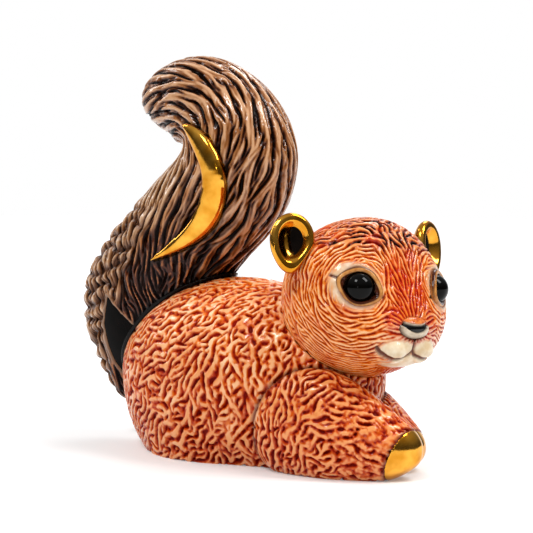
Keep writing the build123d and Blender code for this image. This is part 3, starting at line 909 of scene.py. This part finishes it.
# %% Head
def head_glaze():
    """Fine orange lines on peach, a red bridge, a sooty crown and bare cream skin."""
    material, tree, shader = new_glaze("head fur glaze", 0.3, 0.8)
    relief = attribute(tree, "relief")
    shiny_ridges(tree, shader, relief, 0.9)
    colour = ramp(tree, relief, [(0.1, "981E00"), (0.5, "C84C00"), (0.84, "E67E20"), (1.0, "F6BA80")])
    red = ramp(tree, relief, [(0.1, "7A0400"), (0.5, "AE1C00"), (0.88, "C63800"), (1.0, "E87824")])
    soot = ramp(tree, relief, [(0.42, "100301"), (0.66, "701A02"), (0.86, "B44A0E"), (1.0, "E68E4C")])
    cream = blend(tree, cloud(tree, 500), "ECDCC0", "DDC29A")
    # one of these masks darkens the colour where the lids and the nose meet the head: pooled glaze and painted
    # shade
    for mask, over in (("warm", red), ("sooty", soot), ("pale", cream), ("pooled_glaze_and_shade", "6E2404"), ("line", "5E2408")):
        colour = blend(tree, attribute(tree, mask), colour, over)
    tree.links.new(colour, shader.inputs["Base Color"])
    return material


# %% [markdown]
# ## Gold and enamel
# Gold lustre is a film of real metal over a glossy glaze. It mirrors the studio, with the slow ripple of
# the glaze below. The enamel is a plain gloss, duller on the broad panels than on the seam, the ears and
# the beads of the eyes.

# %% Gold and enamel
def gold():
    """A lustre of gold over glossy glaze, a little browner in patches."""
    material, tree, shader = new_glaze("gold lustre", 0.12, 0.0, bump=0.12, ripple_size=300, metallic=1.0)
    tree.links.new(blend(tree, cloud(tree, 260), "F0B044", "CE8822"), shader.inputs["Base Color"])
    return material


def enamel(name, dark, light, roughness=0.08, specular=0.12):
    """A glossy glaze of one colour with a faint cloudiness."""
    material, tree, shader = new_glaze(name, roughness, 0.0, bump=0.05, specular=specular)
    tree.links.new(blend(tree, cloud(tree, 300), dark, light), shader.inputs["Base Color"])
    return material


# %% [markdown]
# ## Paint on lids and nose
# Both are small, so their colours follow the masks kept with their points: a dark edge on both sides of
# the lid, and hair, nostril and outline on the nose.

# %% Lids and nose
def lid_glaze():
    """Brown-orange on top of the lid, dark brown along both of its edges."""
    material, tree, shader = new_glaze("lid glaze", 0.22, 0.5)
    edge = ramp(tree, attribute(tree, "rim"), [(0.45, "000000"), (0.9, "FFFFFF")])
    top = blend(tree, cloud(tree, 600), "C88C4C", "A8682E")
    tree.links.new(blend(tree, edge, top, "3E1604"), shader.inputs["Base Color"])
    return material


def nose_glaze():
    """Orange hair above, a black nostril and a grey bare lip, outlined in brown."""
    material, tree, shader = new_glaze("nose glaze", 0.2, 0.6)
    colour = blend(tree, cloud(tree, 600), "DCCBB2", "B8A48C")
    hair = blend(tree, cloud(tree, 900), "B4440A", "E08038")
    for mask, over in (("rim", "4E2A16"), ("hair", hair), ("nostril", "080504")):
        colour = blend(tree, attribute(tree, mask), colour, over)
    tree.links.new(colour, shader.inputs["Base Color"])
    return material


# %% The materials
fur, plume, face = body_glaze(), tail_glaze(), head_glaze()
lustre, black = gold(), enamel("black enamel", "060403", "100A08")
bead = enamel("eye bead", "020202", "040302", roughness=0.03)
lid_brown, nose_paint = lid_glaze(), nose_glaze()
panel_black = enamel("panel enamel", "040302", "0A0605", roughness=0.12, specular=0.04)
glazes = (fur, plume, face, lustre, black, bead, lid_brown, nose_paint, panel_black)
print("glazes:", ", ".join(glaze.name for glaze in glazes))

# %% [markdown]
# ## Dressing the pieces
# Each piece rides on the one body of the figure and stands for its CAD nodes.

# %% Ride, replace and paint
dressing = [
    (body_fur, ["body_shell"], "fur_glaze", fur),
    (right_leg_fur, ["right_foreleg"], "fur_glaze", fur),
    (left_leg_fur, ["left_foreleg"], "fur_glaze", fur),
    (head_fur, ["head_shell"], "fur_glaze", face),
    (tail_fur, ["tail_shell"], "tail_glaze", plume),
]
finishes = {"gold": ("gilding", lustre), "enamel": ("black_enamel", black), "bead": ("eye_glass", bead),
            "lid": ("lid_glaze", lid_brown), "nose": ("nose_glaze", nose_paint)}
stands_for["nose"] = "nose_pad"
for name, piece in made.items():
    slot, material = finishes[name.split("_")[-1]]
    dressing.append((piece, [stands_for[name]], slot, panel_black if "panel" in name else material))
for piece, nodes, slot, material in dressing:
    thinned(piece)
    piece.data.materials.append(material)
    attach(piece, "root")
    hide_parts(*nodes)

# %% [markdown]
# ## The floor
# The photograph was taken on a white sweep. The floor here is pale, takes the soft shadow of the figure,
# and adds a light of its own that grows with the distance from the figure, so that it fades into the white
# background. That light is only for rays that see it, straight or in a reflection, and lights nothing.

# %% Floor
def seen_rays(tree):
    """1 for what the camera sees directly, through glass or in a shiny surface."""
    rays = tree.nodes.new("ShaderNodeLightPath")
    direct = reckon(tree, "MAXIMUM", rays.outputs["Is Camera Ray"], rays.outputs["Is Transmission Ray"])
    return reckon(tree, "MAXIMUM", direct, rays.outputs["Is Glossy Ray"])


def floor_piece(near_figure=0.06, horizon=0.9, dim=0.16, bright=0.7):
    """A wide white floor whose own light grows from dim near the figure to bright at the horizon."""
    sheet = bmesh.new()
    bmesh.ops.create_grid(sheet, x_segments=2, y_segments=2, size=3.0)
    mesh = bpy.data.meshes.new("floor")
    sheet.to_mesh(mesh)
    sheet.free()
    floor = linked("floor", mesh)
    material = bpy.data.materials.new("white sweep")
    material.use_nodes = True
    tree = material.node_tree
    shader, output = tree.nodes["Principled BSDF"], tree.nodes["Material Output"]
    shader.inputs["Base Color"].default_value = (0.82, 0.82, 0.82, 1)
    shader.inputs["Roughness"].default_value = 0.6
    place, far = tree.nodes.new("ShaderNodeTexCoord"), tree.nodes.new("ShaderNodeVectorMath")
    far.operation = "LENGTH"
    tree.links.new(place.outputs["Object"], far.inputs[0])
    growing = step(tree, far.outputs["Value"], near_figure, horizon, dim, bright, "SMOOTHSTEP")
    glow, both = tree.nodes.new("ShaderNodeEmission"), tree.nodes.new("ShaderNodeAddShader")
    tree.links.new(reckon(tree, "MULTIPLY", seen_rays(tree), growing), glow.inputs["Strength"])
    tree.links.new(shader.outputs[0], both.inputs[0])
    tree.links.new(glow.outputs[0], both.inputs[1])
    tree.links.new(both.outputs[0], output.inputs["Surface"])
    mesh.materials.append(material)
    print("the floor is", round(floor.dimensions.x, 2), "m wide")


floor_piece()

# %% [markdown]
# ## Where the camera stands
# The camera was found by laying the castings' outline over the photograph. It looks at a point near the
# middle of the figure, turned to its right front and only just above it, through a long lens.

# %% The view
figure_middle = np.array([5.4, -1.2, 45.0]) * MM
view_turn, view_lift, view_far = math.radians(38), math.radians(2.5), 0.320


def look_from(piece, turn, lift, far):
    """Puts a lamp or the camera at a turn, a lift and a distance, and points it at the figure."""
    way = Vector((math.sin(turn) * math.cos(lift), -math.cos(turn) * math.cos(lift), math.sin(lift)))
    piece.location = Vector(figure_middle) + way * far
    piece.rotation_euler = way.to_track_quat("Z", "Y").to_euler()


# %% [markdown]
# ## The world
# The camera sees plain white. Diffuse light gets an even, lower level from all sides. Reflections get a
# bright sweep behind the figure, which draws the long lights on the gold, and a soft ceiling, but almost
# nothing from below or from the camera's side, so that the dark glazes stay dark.

# %% World
world = bpy.data.worlds.new("studio")
bpy.context.scene.world = world
world.use_nodes = True
tree = world.node_tree
aim, parts = tree.nodes.new("ShaderNodeTexCoord"), tree.nodes.new("ShaderNodeSeparateXYZ")
rays = tree.nodes.new("ShaderNodeLightPath").outputs
tree.links.new(aim.outputs["Generated"], parts.inputs["Vector"])
straight = reckon(tree, "MULTIPLY", parts.outputs["Y"], math.cos(view_turn))
sideways = reckon(tree, "MULTIPLY", parts.outputs["X"], math.sin(view_turn))
behind_figure = reckon(tree, "SUBTRACT", straight, sideways)
sweep = step(tree, behind_figure, 0.5, 0.95, curve="SMOOTHSTEP")
ceiling = step(tree, parts.outputs["Z"], 0.1, 0.8, 0.08, 0.5, "SMOOTHSTEP")
shiny = reckon(tree, "MULTIPLY", rays["Is Glossy Ray"], reckon(tree, "MAXIMUM", sweep, ceiling))
direct = reckon(tree, "MAXIMUM", rays["Is Camera Ray"], rays["Is Transmission Ray"])
lit = reckon(tree, "MULTIPLY", rays["Is Diffuse Ray"], 0.42)
strength = reckon(tree, "MAXIMUM", reckon(tree, "MAXIMUM", direct, shiny), lit)
sky = tree.nodes["Background"]
sky.inputs["Color"].default_value = (1, 1, 1, 1)
tree.links.new(strength, sky.inputs["Strength"])
print("the world has", len(tree.nodes), "nodes")

# %% [markdown]
# ## The lamps
# A small key lamp high in front makes the bright points on the wet glaze and in the eyes. A strip at the
# figure's back and a larger lamp at its front draw the long lights, a lamp behind lights the edges, and a
# very small one near the camera opens the shadows of the face.

# %% Lamps
def lamp(name, turn, lift, far, wide, high, power):
    """A soft lamp that looks at the figure from a turn round it and a lift above the floor."""
    light = bpy.data.lights.new(name, "AREA")
    light.shape = "RECTANGLE"
    light.size = wide
    light.size_y = high
    light.energy = power
    look_from(linked(name, light), math.radians(turn), math.radians(lift), far)


lamp("key", turn=5, lift=52, far=0.6, wide=0.16, high=0.16, power=1.65)
lamp("strip", turn=-78, lift=32, far=0.6, wide=0.1, high=0.4, power=0.8)
lamp("side", turn=106, lift=52, far=0.6, wide=0.18, high=0.3, power=2.4)
lamp("rim", turn=195, lift=50, far=0.6, wide=0.25, high=0.25, power=1.0)
lamp("catch", turn=26, lift=8, far=0.8, wide=0.05, high=0.05, power=0.12)
print("lamps:", [light.name for light in bpy.data.lights])

# %% [markdown]
# ## The camera
# The long lens stands close in this small world, and the small shift puts the figure where it is in the
# photograph without turning the camera.

# %% Camera
lens = bpy.data.cameras.new("photo view")
lens.lens = 95.1
lens.shift_x = 0.001
lens.shift_y = -0.016
camera = linked("photo_view", lens)
look_from(camera, view_turn, view_lift, view_far)
bpy.context.scene.camera = camera
bpy.context.scene.view_settings.view_transform = "Standard"
print("the camera stands at", [round(part, 3) for part in camera.location], "m")
